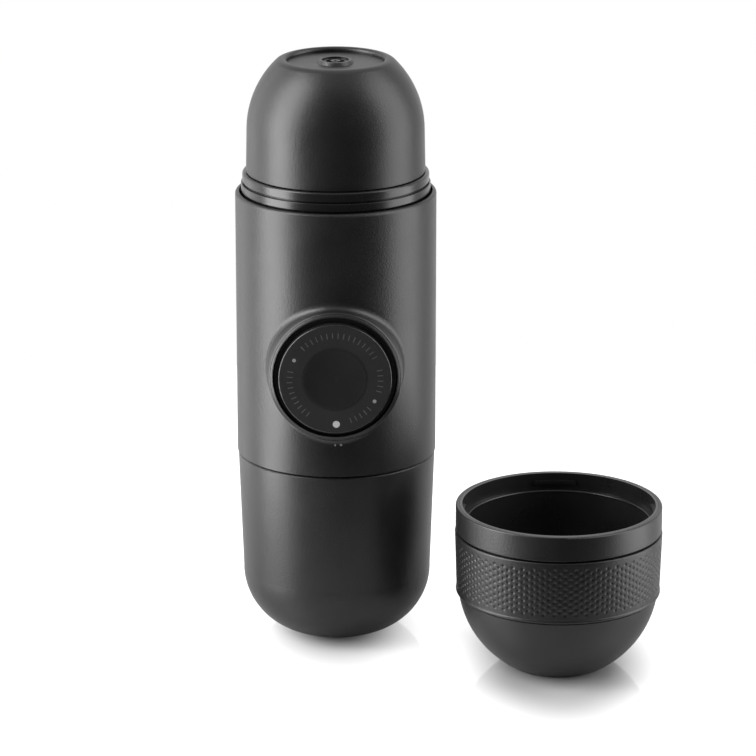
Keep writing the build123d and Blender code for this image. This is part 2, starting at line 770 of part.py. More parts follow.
with BuildPart() as brew_chassis:
    outline = section(
        Plane.XZ,
        (0, chassis_bottom),
        (frame_radius, chassis_bottom),
        (frame_radius, chassis_floor_top),
        (neck_radius, chassis_floor_top),
        (neck_radius, collar_seat - collar_flange_thickness),
        (frame_radius, collar_seat - collar_flange_thickness),
        (frame_radius, collar_seat),
        (neck_radius, collar_seat),
        (neck_radius, neck_top),
        (neck_ledge_radius, neck_top),
        (neck_ledge_radius, neck_ledge_z),
        (chamber_radius, neck_ledge_z),
        (chamber_radius, chassis_floor_top),
        (0, chassis_floor_top),
    )
    revolve(outline, axis=Axis.Z)
    for row in (0, 1):
        ring_height = neck_top - neck_thread_drop - row * thread_lead
        revolve(thread_ring(neck_radius, neck_radius + thread_height, ring_height), axis=Axis.Z)
    # The water's way in: up from the outlet valve, along to the middle and up to the injector.
    with BuildSketch(Plane.XY.offset(chassis_bottom)):
        with Locations((0, port_y)):
            Circle(inlet_bore_radius)
    extrude(amount=channel_depth, mode=Mode.SUBTRACT)
    with BuildSketch(Plane.XY.offset(channel_z)):
        Circle(inlet_bore_radius)
    extrude(amount=chassis_floor_top - channel_z, mode=Mode.SUBTRACT)
    with BuildSketch(Plane(origin=(0, 0, channel_z), z_dir=(0, 1, 0))):
        Circle(channel_radius)
    extrude(amount=frame_radius, mode=Mode.SUBTRACT)
    with BuildSketch(Plane(origin=(0, frame_radius - plug_length, channel_z), z_dir=(0, 1, 0))):
        Circle(plug_radius + glue_fit)
    extrude(amount=plug_length, mode=Mode.SUBTRACT)
    with BuildSketch(Plane.XY.offset(chassis_bottom)):
        with Locations(strut_places):
            Circle(screw_radius + hole_play)
    extrude(amount=chassis_floor_thickness, mode=Mode.SUBTRACT)
    with BuildSketch(Plane.XY.offset(chassis_floor_top)):
        with Locations(strut_places):
            Circle(screw_head_radius + slip)
    extrude(amount=-screw_recess_depth, mode=Mode.SUBTRACT)

with BuildPart() as channel_plug:
    with BuildSketch(Plane(origin=(0, frame_radius - plug_length, channel_z), z_dir=(0, 1, 0))):
        Circle(plug_radius)
    extrude(amount=plug_length - slip)

with BuildPart() as chassis_screws:
    with BuildSketch(Plane.XY.offset(chassis_screw_seat)):
        with Locations(strut_places):
            Circle(screw_head_radius)
    extrude(amount=screw_head_height)
    with BuildSketch(Plane.XY.offset(chassis_screw_seat)):
        with Locations(strut_places):
            Circle(screw_radius)
    extrude(amount=chassis_screw_tip - chassis_screw_seat)
    with BuildSketch(Plane.XY.offset(chassis_screw_seat + screw_head_height)):
        with Locations(strut_places):
            RegularPolygon(screw_radius, 6)
    extrude(amount=-screw_head_height / 2, mode=Mode.SUBTRACT)

with BuildPart() as injector_plate:
    with BuildSketch(Plane.XY.offset(chassis_floor_top)):
        Circle(injector_radius)
    extrude(amount=injector_thickness)
    with BuildSketch(Plane.XY.offset(chassis_floor_top)):
        Circle(needle_circle_radius + needle_radius)
    extrude(amount=injector_thickness / 2, mode=Mode.SUBTRACT)
    with Locations((0, 0, injector_top)):
        with PolarLocations(needle_circle_radius, needle_count, start_angle=90):
            Cone(
                needle_radius,
                needle_tip_radius,
                needle_length,
                align=(Align.CENTER, Align.CENTER, Align.MIN),
            )

with BuildPart() as chamber_seal:
    profile = ring_section(chamber_seal_inner_radius, chamber_seal_outer_radius, injector_top, holder_bottom)
    revolve(profile, axis=Axis.Z)

# ================================================================ cup collar
band_top = body_top + collar_band_height
groove_top = band_top + collar_groove_width
collar_foot_radius = collar_lower_radius - collar_groove_depth
with BuildPart() as cup_collar:
    outline = section(
        Plane.XZ,
        (neck_radius + glue_fit, collar_seat),
        (collar_foot_radius, collar_seat),
        (collar_foot_radius, body_top + collar_foot_rise),
        (collar_lower_radius, body_top + collar_foot_rise),
        (collar_lower_radius, band_top),
        (collar_upper_radius - collar_groove_depth, band_top),
        (collar_upper_radius - collar_groove_depth, groove_top),
        (collar_upper_radius, groove_top),
        (collar_upper_radius, collar_top),
        (neck_radius + glue_fit, collar_top),
    )
    revolve(outline, axis=Axis.Z)
    upper_edges = circles(cup_collar, collar_upper_radius).sort_by(Axis.Z)
    fillet(upper_edges[-1], radius=collar_top_round)
    fillet(circles(cup_collar, collar_upper_radius).sort_by(Axis.Z)[0], radius=collar_band_round)
    fillet(circles(cup_collar, collar_lower_radius).sort_by(Axis.Z)[-1], radius=collar_band_round)

# ================================================================ capsule holder
holder_floor_top = holder_bottom + holder_floor
with BuildPart() as capsule_holder:
    outline = section(
        Plane.XZ,
        (holder_floor_bore_radius, holder_bottom),
        (holder_radius - holder_taper, holder_bottom),
        (holder_radius, neck_ledge_z),
        (holder_flange_radius, neck_ledge_z),
        (holder_flange_radius, holder_top),
        (capsule_flange_radius, holder_top),
        (capsule_flange_radius, holder_top - capsule_flange_depth),
        (holder_inner_radius, holder_top - capsule_flange_depth),
        (holder_inner_radius - holder_taper, holder_floor_top),
        (holder_floor_bore_radius, holder_floor_top),
    )
    revolve(outline, axis=Axis.Z)

# ================================================================ outlet head
dome_shoulder_z = dome_bottom + dome_shoulder_height
recess_floor = dome_top - dome_recess_depth
roof_underside = recess_floor - dome_roof

with BuildPart() as head_gasket:
    profile = ring_section(neck_ledge_radius, neck_ledge_radius + gasket_width, neck_top, funnel_bottom)
    revolve(profile, axis=Axis.Z)

with BuildPart() as outlet_dome:
    with BuildSketch(Plane.XZ):
        with BuildLine():
            wall = Line((dome_base_radius, dome_bottom), (dome_shoulder_radius, dome_shoulder_z))
            crown = TangentArc(wall @ 1, (dome_crown_radius, dome_top - dome_crown_drop), tangent=wall % 1)
            crest = TangentArc(crown @ 1, (dome_rim_radius, dome_top), tangent=crown % 1)
            lip = TangentArc(crest @ 1, (dome_recess_radius, dome_top - dome_crown_drop), tangent=crest % 1)
            Polyline(
                lip @ 1,
                (dome_recess_radius, recess_floor),
                (0, recess_floor),
                (0, roof_underside),
                (dome_recess_radius - dome_roof_inset, roof_underside),
            )
            hollow = TangentArc(
                (dome_shoulder_radius - dome_shoulder_wall, funnel_flange_top),
                (dome_recess_radius - dome_roof_inset, roof_underside),
                tangent=(0, 1),
            )
            Polyline(
                hollow @ 0,
                (dome_thread_radius, funnel_flange_top),
                (dome_thread_radius, dome_bottom),
                (dome_base_radius, dome_bottom),
            )
        make_face()
    revolve(axis=Axis.Z)
    for row in (0, 1):
        ring_height = neck_top - neck_thread_drop - (row + 0.5) * thread_lead
        revolve(thread_ring(dome_thread_radius, neck_radius + thread_height + slip, ring_height), axis=Axis.Z)
    with BuildSketch(Plane.XY.offset(roof_underside)):
        Circle(spout_stem_radius + glue_fit)
    extrude(amount=dome_roof, mode=Mode.SUBTRACT)

with BuildPart() as pierce_plate:
    with BuildSketch(Plane.XY.offset(funnel_bottom)):
        Circle(holder_flange_radius)
        with PolarLocations(pierce_drain_circle_radius, pierce_drain_count):
            Circle(pierce_drain_radius, mode=Mode.SUBTRACT)
    extrude(amount=-pierce_plate_thickness)
    with Locations((0, 0, funnel_bottom - pierce_plate_thickness)):
        for ring in (1, 2):
            with PolarLocations(ring * pierce_pin_circle_radius, ring * pierce_pin_count):
                Cone(
                    needle_tip_radius,
                    pierce_pin_radius,
                    pierce_pin_length,
                    align=(Align.CENTER, Align.CENTER, Align.MAX),
                )

funnel_flange_radius = dome_thread_radius - slip
funnel_tube_radius = spout_stem_radius + hole_play
funnel_tube_bottom = funnel_bottom + funnel_height
funnel_tube_top = roof_underside - funnel_tube_gap
funnel_mouth_radius = capsule_flange_radius - funnel_mouth_step
with BuildPart() as outlet_funnel:
    outline = section(
        Plane.XZ,
        (funnel_mouth_radius, funnel_bottom),
        (funnel_flange_radius, funnel_bottom),
        (funnel_flange_radius, funnel_flange_top),
        (funnel_mouth_radius + funnel_wall, funnel_flange_top),
        (funnel_tube_radius + funnel_wall, funnel_tube_bottom + funnel_wall),
        (funnel_tube_radius + funnel_wall, funnel_tube_top),
        (funnel_tube_radius, funnel_tube_top),
        (funnel_tube_radius, funnel_tube_bottom),
    )
    revolve(outline, axis=Axis.Z)

spout_well_floor = recess_floor + spout_height - spout_well_depth
with BuildPart() as spout_nozzle:
    outline = section(
        Plane.XZ,
        (spout_bore_radius, recess_floor - spout_stem_length),
        (spout_stem_radius, recess_floor - spout_stem_length),
        (spout_stem_radius, recess_floor),
        (spout_radius, recess_floor),
        (spout_lip_radius, recess_floor + spout_height),
        (spout_well_radius, recess_floor + spout_height),
        (spout_well_radius, spout_well_floor),
        (spout_throat_radius, spout_well_floor),
        (spout_throat_radius, spout_well_floor - spout_throat_depth),
        (spout_tube_radius, spout_well_floor - spout_throat_depth),
        (spout_tube_radius, recess_floor + spout_height - slip),
        (spout_bore_radius, recess_floor + spout_height - slip),
    )
    revolve(outline, axis=Axis.Z)

# ================================================================ travel cup, standing by the maker
cup_axis = Axis((cup_x, cup_y, 0), (0, 0, 1))
liner_rim_inner_radius = collar_lower_radius + loose
liner_rim_outer_radius = liner_rim_inner_radius + liner_rim_wall
cup_rim_radius = liner_rim_outer_radius + cup_rim_wall
cup_bowl_radius = cup_rim_radius - cup_rim_lip
cup_bowl_centre = sqrt(cup_bowl_radius**2 - cup_foot_radius**2)
cup_band_top_radius = cup_rim_radius + cup_band_rise
cup_band_bottom_radius = cup_band_top_radius - cup_band_draft
band_seat_radius = cup_band_bottom_radius - cup_band_wall
rim_bottom = cup_height - cup_rim_height
cup_band_top = rim_bottom - cup_groove
liner_ledge_z = cup_height - liner_ledge_depth
liner_seat_z = liner_ledge_z - liner_wall
shell_hollow_radius = cup_bowl_radius - cup_wall
liner_outer_radius = shell_hollow_radius - glue_fit


def cup_section_at(angle):
    """Upright plane through the cup's axis, turned by an angle from +X."""
    outward = Vector(1, 0, 0).rotate(Axis.Z, angle)
    return Plane(origin=(cup_x, cup_y, 0), x_dir=outward, z_dir=outward.rotate(Axis.Z, -90))


def bowl_arc(sphere_radius, low, high):
    """Bowl line about the cup's axis, from one height up to another."""
    heights = (low, (low + high) / 2, high)
    return ThreePointArc(*[(sqrt(sphere_radius**2 - (z - cup_bowl_centre) ** 2), z) for z in heights])


cup_section = cup_section_at(0)

with BuildPart() as cup_shell:
    with BuildSketch(cup_section):
        with BuildLine():
            bowl = bowl_arc(cup_bowl_radius, 0, cup_band_bottom)
            Polyline(
                bowl @ 1,
                (band_seat_radius, cup_band_bottom),
                (band_seat_radius, rim_bottom),
                (cup_rim_radius, rim_bottom),
                (cup_rim_radius, cup_height),
                (liner_rim_outer_radius + glue_fit, cup_height),
                (liner_rim_outer_radius + glue_fit, liner_seat_z),
                (shell_hollow_radius, liner_seat_z),
                (shell_hollow_radius, cup_bowl_centre),
            )
            hollow = bowl_arc(shell_hollow_radius, cup_floor, cup_bowl_centre)
            Polyline(hollow @ 0, (0, cup_floor), (0, 0), bowl @ 0)
        make_face()
    revolve(axis=cup_axis)
    fillet(circles(cup_shell, cup_rim_radius), radius=cup_rim_round)

with BuildPart() as cup_liner:
    with BuildSketch(cup_section):
        with BuildLine():
            outside = bowl_arc(liner_outer_radius, liner_floor_height - liner_wall, cup_bowl_centre)
            Polyline(
                outside @ 1,
                (liner_outer_radius, liner_seat_z),
                (liner_rim_outer_radius, liner_seat_z),
                (liner_rim_outer_radius, cup_height),
                (liner_rim_inner_radius, cup_height),
                (liner_rim_inner_radius, liner_ledge_z),
                (liner_outer_radius - liner_wall, liner_ledge_z),
                (liner_outer_radius - liner_wall, cup_bowl_centre),
            )
            inside = bowl_arc(liner_outer_radius - liner_wall, liner_floor_height, cup_bowl_centre)
            Polyline(inside @ 0, (0, liner_floor_height), (0, liner_floor_height - liner_wall), outside @ 0)
        make_face()
    revolve(axis=cup_axis)
    # Lugs that turn on to the collar's thread.
    lug_angle = degrees(lug_width / liner_rim_inner_radius)
    lug_top = cup_height - lug_depth
    for lug in range(lug_count):
        start = lug * 360 / lug_count - lug_angle / 2
        lug_outline = ring_section(
            liner_rim_inner_radius - lug_reach,
            liner_rim_inner_radius + liner_rim_wall / 2,
            lug_top - lug_height,
            lug_top,
            plane=cup_section_at(start),
        )
        revolve(lug_outline, axis=cup_axis, revolution_arc=lug_angle)

with BuildPart() as cup_grip_band:
    outline = section(
        cup_section,
        (band_seat_radius + glue_fit, cup_band_bottom),
        (cup_band_bottom_radius - cup_band_chamfer, cup_band_bottom),
        (cup_band_bottom_radius, cup_band_bottom + cup_band_chamfer),
        (cup_band_top_radius, cup_band_top - cup_band_chamfer),
        (cup_band_top_radius - cup_band_chamfer, cup_band_top),
        (band_seat_radius + glue_fit, cup_band_top),
    )
    revolve(outline, axis=cup_axis)

# ================================================================ labels and files
pieces = {
    "tank_shell": tank_shell,
    "tank_seal": tank_seal,
    "body_shell": body_shell,
    "tank_bulkhead": tank_bulkhead,
    "inlet_strainer": inlet_strainer,
    "vent_tube": vent_tube,
    "vent_valve": vent_valve,
    "bulkhead_screws": bulkhead_screws,
    "pump_housing": pump_housing,
    "pump_cylinder": pump_cylinder,
    "pump_end_cap": pump_end_cap,
    "end_cap_seal": end_cap_seal,
    "end_cap_screws": end_cap_screws,
    "inlet_valve": inlet_valve,
    "outlet_valve": outlet_valve,
    "piston_rod": piston_rod,
    "piston_seal": piston_seal,
    "return_spring": return_spring,
    "knob": knob,
    "knob_center_cap": knob_center_cap,
    "knob_screw": knob_screw,
    "brew_chassis": brew_chassis,
    "channel_plug": channel_plug,
    "chassis_screws": chassis_screws,
    "injector_plate": injector_plate,
    "chamber_seal": chamber_seal,
    "cup_collar": cup_collar,
    "capsule_holder": capsule_holder,
    "head_gasket": head_gasket,
    "outlet_dome": outlet_dome,
    "pierce_plate": pierce_plate,
    "outlet_funnel": outlet_funnel,
    "spout_nozzle": spout_nozzle,
    "cup_shell": cup_shell,
    "cup_liner": cup_liner,
    "cup_grip_band": cup_grip_band,
}
for name, piece in pieces.items():
    piece.part.label = name
    export_step(piece.part, f"parts/{name}.step")
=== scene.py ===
"""Looks of the handheld espresso maker and its travel cup.

Metres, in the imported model's frame. The CAD solids keep their shapes and get procedural materials.
The cup's dimpled grip band, the rounded edges of the liner's step and of the knob's bore, and the small
printed marks are made here.
"""

import json
from math import ceil, cos, hypot, pi, radians, sin

import bmesh
import bpy
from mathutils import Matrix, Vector


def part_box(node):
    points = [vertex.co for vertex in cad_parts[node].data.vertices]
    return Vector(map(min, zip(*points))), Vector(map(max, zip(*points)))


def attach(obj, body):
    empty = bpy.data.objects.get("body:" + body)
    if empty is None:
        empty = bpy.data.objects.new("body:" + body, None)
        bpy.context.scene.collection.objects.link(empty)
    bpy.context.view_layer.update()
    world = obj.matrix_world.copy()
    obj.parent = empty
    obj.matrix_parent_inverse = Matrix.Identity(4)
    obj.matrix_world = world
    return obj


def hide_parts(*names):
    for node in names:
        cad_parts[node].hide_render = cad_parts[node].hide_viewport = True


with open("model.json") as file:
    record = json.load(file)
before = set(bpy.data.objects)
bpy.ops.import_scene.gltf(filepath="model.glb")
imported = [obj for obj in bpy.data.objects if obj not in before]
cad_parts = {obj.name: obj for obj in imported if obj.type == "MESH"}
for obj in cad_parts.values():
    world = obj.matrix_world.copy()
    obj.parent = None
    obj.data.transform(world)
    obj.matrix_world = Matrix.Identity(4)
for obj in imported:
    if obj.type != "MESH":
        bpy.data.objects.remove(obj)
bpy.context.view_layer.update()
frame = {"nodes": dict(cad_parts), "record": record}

MM = 0.001
nodes = frame["nodes"]
scene = bpy.context.scene

# ------------------------------------------------------------------ camera
VIEW_PITCH = radians(17.19)
VIEW_DISTANCE = 1.16835
VIEW_TARGET = Vector((0.01215, 0.0, 0.07578))
SENSOR_WIDTH = 36.0
FOCAL_LENGTH = 190.476
NEAREST_SEEN = 0.05
FARTHEST_SEEN = 20.0

lens = bpy.data.cameras.new("camera")
lens.sensor_width = SENSOR_WIDTH
lens.lens = FOCAL_LENGTH
lens.clip_start = NEAREST_SEEN
lens.clip_end = FARTHEST_SEEN
camera = bpy.data.objects.new("camera", lens)
camera.location = VIEW_TARGET + VIEW_DISTANCE * Vector((0, -cos(VIEW_PITCH), sin(VIEW_PITCH)))
camera.rotation_euler = (pi / 2 - VIEW_PITCH, 0, 0)
scene.collection.objects.link(camera)
scene.camera = camera


# ------------------------------------------------------------------ node helpers
def add(tree, kind, inputs=None, **settings):
    """Adds a shader node; an input takes a value or another node's output."""
    made = tree.nodes.new(kind)
    for name, value in settings.items():
        setattr(made, name, value)
    for name, value in (inputs or {}).items():
        if isinstance(value, bpy.types.NodeSocket):
            tree.links.new(value, made.inputs[name])
        else:
            made.inputs[name].default_value = value
    return made


def new_material(name):
    material = bpy.data.materials.new(name)
    material.use_nodes = True
    tree = material.node_tree
    return material, tree, tree.nodes["Principled BSDF"]


def noise(tree, coordinates, size, detail=2.0, roughness=0.5):
    """Noise whose largest lumps are about size metres across."""
    return add(
        tree,
        "ShaderNodeTexNoise",
        {"Vector": coordinates, "Scale": 1 / size, "Detail": detail, "Roughness": roughness},
    ).outputs["Fac"]


def remap(tree, value, low, high, out_low, out_high, smooth=False):
    """Maps a value from one range to another and clamps it."""
    return add(
        tree,
        "ShaderNodeMapRange",
        {"Value": value, "From Min": low, "From Max": high, "To Min": out_low, "To Max": out_high},
        interpolation_type="SMOOTHSTEP" if smooth else "LINEAR",
    ).outputs["Result"]


def tint(tree, fac, dark, light):
    """Blends two colours by fac."""
    blend = add(tree, "ShaderNodeMix", data_type="RGBA")
    tree.links.new(fac, blend.inputs["Factor"])
    blend.inputs["A"].default_value = (*dark, 1)
    blend.inputs["B"].default_value = (*light, 1)
    return blend.outputs["Result"]


def calculate(tree, operation, one, two):
    """Sum, product or the like of two values."""
    return add(tree, "ShaderNodeMath", {0: one, 1: two}, operation=operation).outputs[0]


def object_coordinates(tree):
    return add(tree, "ShaderNodeTexCoord").outputs["Object"]


# ------------------------------------------------------------------ materials
def plastic(name, dark, light, gloss, grain, grain_height, patch=0.012, ior=1.5):
    """Moulded plastic: a fine grain in the surface and slow changes of tone and gloss.

    gloss is the roughness at its shiniest and dullest.
    """
    material, tree, surface = new_material(name)
    where = object_coordinates(tree)
    slow = noise(tree, where, patch, detail=3.0)
    fine = noise(tree, where, grain, detail=2.0, roughness=0.6)
    tone = remap(tree, slow, 0.3, 0.7, 0, 1)
    tree.links.new(tint(tree, tone, dark, light), surface.inputs["Base Color"])
    tree.links.new(remap(tree, slow, 0.25, 0.75, *gloss), surface.inputs["Roughness"])
    bump = add(tree, "ShaderNodeBump", {"Height": fine, "Distance": grain_height})
    tree.links.new(bump.outputs["Normal"], surface.inputs["Normal"])
    surface.inputs["IOR"].default_value = ior
    return material


COOL_CAST = 1.03


def grey(value):
    """Neutral black or grey with a slightly cool cast."""
    return (value, value, value * COOL_CAST)


charcoal = plastic(
    "charcoal_shell", grey(0.006), grey(0.0085), (0.35, 0.41), grain=0.5 * MM, grain_height=0.055 * MM
)
dome_black = plastic(
    "charcoal_dome", grey(0.004), grey(0.0055), (0.36, 0.42), grain=0.5 * MM, grain_height=0.045 * MM
)
collar_black = plastic(
    "collar_black", grey(0.004), grey(0.006), (0.23, 0.29), grain=0.6 * MM, grain_height=0.015 * MM
)
gloss_black = plastic(
    "polished_black", grey(0.004), grey(0.006), (0.1, 0.16), grain=2.5 * MM, grain_height=0.01 * MM
)
liner_black = plastic(
    "liner_black", grey(0.011), grey(0.015), (0.24, 0.32), grain=0.5 * MM, grain_height=0.012 * MM
)
frame_black = plastic(
    "moulded_black", grey(0.012), grey(0.018), (0.38, 0.5), grain=0.5 * MM, grain_height=0.02 * MM
)
pale = plastic(
    "pale_acetal", (0.62, 0.62, 0.58), (0.7, 0.7, 0.66), (0.28, 0.38), grain=0.8 * MM, grain_height=0.01 * MM
)
silicone = plastic(
    "silicone_rubber", grey(0.2), grey(0.25), (0.5, 0.62), grain=0.6 * MM, grain_height=0.02 * MM
)

black_silicone = plastic(
    "black_silicone", grey(0.004), grey(0.006), (0.5, 0.62), grain=0.6 * MM, grain_height=0.02 * MM
)


DRAWN_LINE = 0.15 * MM
DRAWN_LINE_DEPTH = 0.004 * MM
DRAWN_STRETCH = (1, 1, 0.05)
STEEL_PATCH = 4 * MM
STEEL_DULLING = 0.9


def brushed_steel(name, tone, gloss):
    """Steel with fine drawn lines: noise stretched along the vertical axis."""
    material, tree, surface = new_material(name)
    where = object_coordinates(tree)
    stretched = add(tree, "ShaderNodeMapping", {"Vector": where, "Scale": DRAWN_STRETCH}).outputs["Vector"]
    lines = noise(tree, stretched, DRAWN_LINE, detail=4.0, roughness=0.7)
    slow = noise(tree, where, STEEL_PATCH, detail=2.0)
    dulled = [channel * STEEL_DULLING for channel in tone]
    tree.links.new(tint(tree, slow, dulled, tone), surface.inputs["Base Color"])
    tree.links.new(remap(tree, lines, 0.3, 0.7, *gloss), surface.inputs["Roughness"])
    bump = add(tree, "ShaderNodeBump", {"Height": lines, "Distance": DRAWN_LINE_DEPTH})
    tree.links.new(bump.outputs["Normal"], surface.inputs["Normal"])
    surface.inputs["Metallic"].default_value = 1.0
    return material


pressed_steel = brushed_steel("pressed_steel", (0.55, 0.55, 0.56), (0.22, 0.4))
turned_steel = brushed_steel("turned_steel", (0.48, 0.48, 0.49), (0.25, 0.35))

KNOB_AXIS_Z = (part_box("knob")[0].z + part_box("knob")[1].z) / 2
KNOB_FRONT_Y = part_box("knob")[0].y
KNOB_FACE_RADIUS = 15.7 * MM
KNOB_FACE_EDGE = 0.2 * MM
KNOB_DISH_RADIUS = 9.2 * MM
KNOB_DISH_EDGE = 0.8 * MM
KNOB_FACE_TONE = 0.018
# The dish's darker tone is painted shade for the hollow.
KNOB_DISH_SHADE_TONE = 0.009
KNOB_FLANK_TONE = 0.013
KNOB_FACE_GLOSS = (0.36, 0.44)
KNOB_FLANK_GLOSS = (0.2, 0.26)
KNOB_PATCH = 9 * MM
KNOB_GRAIN = 0.4 * MM
KNOB_GRAIN_HEIGHT = 0.008 * MM


def knob_plastic():
    """Satin on the knob's flat face, painted darker in its dish as shade in the hollow, polished on its
    flank.
    """
    material, tree, surface = new_material("knob_black")
    where = object_coordinates(tree)
    parts = add(tree, "ShaderNodeSeparateXYZ", {"Vector": where})
    height = calculate(tree, "SUBTRACT", parts.outputs["Z"], KNOB_AXIS_Z)
    flat = add(tree, "ShaderNodeCombineXYZ", {"X": parts.outputs["X"], "Y": height})
    radius = add(tree, "ShaderNodeVectorMath", {0: flat.outputs[0]}, operation="LENGTH").outputs["Value"]
    on_face = remap(tree, radius, KNOB_FACE_RADIUS, KNOB_FACE_RADIUS + KNOB_FACE_EDGE, 1, 0)
    slow = noise(tree, where, KNOB_PATCH, detail=3.0)
    satin = remap(tree, slow, 0.25, 0.75, *KNOB_FACE_GLOSS)
    shine = remap(tree, slow, 0.25, 0.75, *KNOB_FLANK_GLOSS)
    gloss = add(tree, "ShaderNodeMix", data_type="FLOAT")
    tree.links.new(on_face, gloss.inputs["Factor"])
    tree.links.new(shine, gloss.inputs["A"])
    tree.links.new(satin, gloss.inputs["B"])
    tree.links.new(gloss.outputs["Result"], surface.inputs["Roughness"])
    dish_inner = KNOB_DISH_RADIUS - KNOB_DISH_EDGE
    dish_outer = KNOB_DISH_RADIUS + KNOB_DISH_EDGE
    # Painted shade: the dish gets the darker tone.
    dish_shade_mask = remap(tree, radius, dish_inner, dish_outer, 1, 0, smooth=True)
    face_tone = tint(tree, dish_shade_mask, grey(KNOB_FACE_TONE), grey(KNOB_DISH_SHADE_TONE))
    tones = add(tree, "ShaderNodeMix", data_type="RGBA")
    tree.links.new(on_face, tones.inputs["Factor"])
    tones.inputs["A"].default_value = (*grey(KNOB_FLANK_TONE), 1)
    tree.links.new(face_tone, tones.inputs["B"])
    tree.links.new(tones.outputs["Result"], surface.inputs["Base Color"])
    fine = noise(tree, where, KNOB_GRAIN, detail=2.0)
    bump = add(tree, "ShaderNodeBump", {"Height": fine, "Distance": KNOB_GRAIN_HEIGHT})
    tree.links.new(bump.outputs["Normal"], surface.inputs["Normal"])
    return material


knob_black = knob_plastic()
print_light = plastic(
    "light_print", (0.42, 0.42, 0.42), (0.5, 0.5, 0.5), (0.4, 0.5), grain=0.3 * MM, grain_height=0.004 * MM
)
print_soft = plastic(
    "soft_print", (0.2, 0.2, 0.2), (0.25, 0.25, 0.25), (0.4, 0.5), grain=0.3 * MM, grain_height=0.004 * MM
)
print_dim = plastic(
    "dim_print", (0.06, 0.06, 0.06), (0.08, 0.08, 0.08), (0.4, 0.5), grain=0.3 * MM, grain_height=0.004 * MM
)

slot_materials = {
    "charcoal_plastic": charcoal,
    "gloss_black_plastic": gloss_black,
    "knob_plastic": knob_black,
    "grip_plastic": charcoal,
    "frame_plastic": frame_black,
    "pale_plastic": pale,
    "silicone": silicone,
    "stainless_steel": pressed_steel,
    "steel_fasteners": turned_steel,
}
for subpart in frame["record"]["subparts"]:
    mesh = nodes[subpart["node"]].data
    mesh.materials.clear()
    mesh.materials.append(slot_materials[subpart["material_slot"]])
nodes["outlet_dome"].data.materials[0] = dome_black
nodes["cup_liner"].data.materials[0] = liner_black
nodes["cup_collar"].data.materials[0] = collar_black
nodes["tank_seal"].data.materials[0] = black_silicone


# ------------------------------------------------------------------ mesh helpers
def mesh_object(name, bm, material, body):
    """Turns a bmesh into a smooth piece that rides on a body."""
    mesh = bpy.data.meshes.new(name)
    bm.to_mesh(mesh)
    bm.free()
    mesh.shade_smooth()
    mesh.materials.append(material)
    piece = bpy.data.objects.new(name, mesh)
    scene.collection.objects.link(piece)
    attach(piece, body)
    return piece


# ------------------------------------------------------------------ the cup's dimpled grip band
CUP_X, CUP_Y = [(low + high) / 2 for low, high in zip(*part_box("cup_shell"))][:2]
BAND_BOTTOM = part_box("cup_grip_band")[0].z
BAND_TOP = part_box("cup_grip_band")[1].z
BAND_BOTTOM_RADIUS = 29.2 * MM
BAND_TOP_RADIUS = (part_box("cup_grip_band")[1].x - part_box("cup_grip_band")[0].x) / 2
BAND_CORE_RADIUS = 28.25 * MM
BAND_ROUND = 0.45 * MM
BAND_FOOT_GAP = 0.5 * MM
BEAD_HEIGHT = 0.9 * MM
BEAD_REACH = 0.22 * MM
DIMPLE_COLUMNS = 122
DIMPLE_PITCH = 1.88 * MM
DIMPLE_MARGIN = 2.3 * MM
DIMPLE_ROWS = 8
DIMPLE_RADIUS = 0.6 * MM
DIMPLE_DEPTH = 0.18 * MM
DIMPLE_SHARPNESS = 1.5
STEPS_PER_COLUMN = 8
BEAD_STEPS = 8
ROUND_STEPS = 5
ROW_STEP = 0.19 * MM


def dimple_depth(column, height):
    """Depth of the grip texture at a place given in columns round the band and metres below its top."""
    deepest = 0.0
    for near in (int(column), int(column) + 1):
        across_band = (column - near) * 2 * pi * BAND_TOP_RADIUS / DIMPLE_COLUMNS
        shift = (near % 2) * DIMPLE_PITCH / 2
        row = round((height - DIMPLE_MARGIN - shift) / DIMPLE_PITCH)
        row = min(max(row, 0), DIMPLE_ROWS - 1 - near % 2)
        along_band = height - DIMPLE_MARGIN - shift - row * DIMPLE_PITCH
        reach = hypot(across_band, along_band) / DIMPLE_RADIUS
        if reach < 1:
            deepest = max(deepest, DIMPLE_DEPTH * (1 - reach * reach) ** DIMPLE_SHARPNESS)
    return deepest


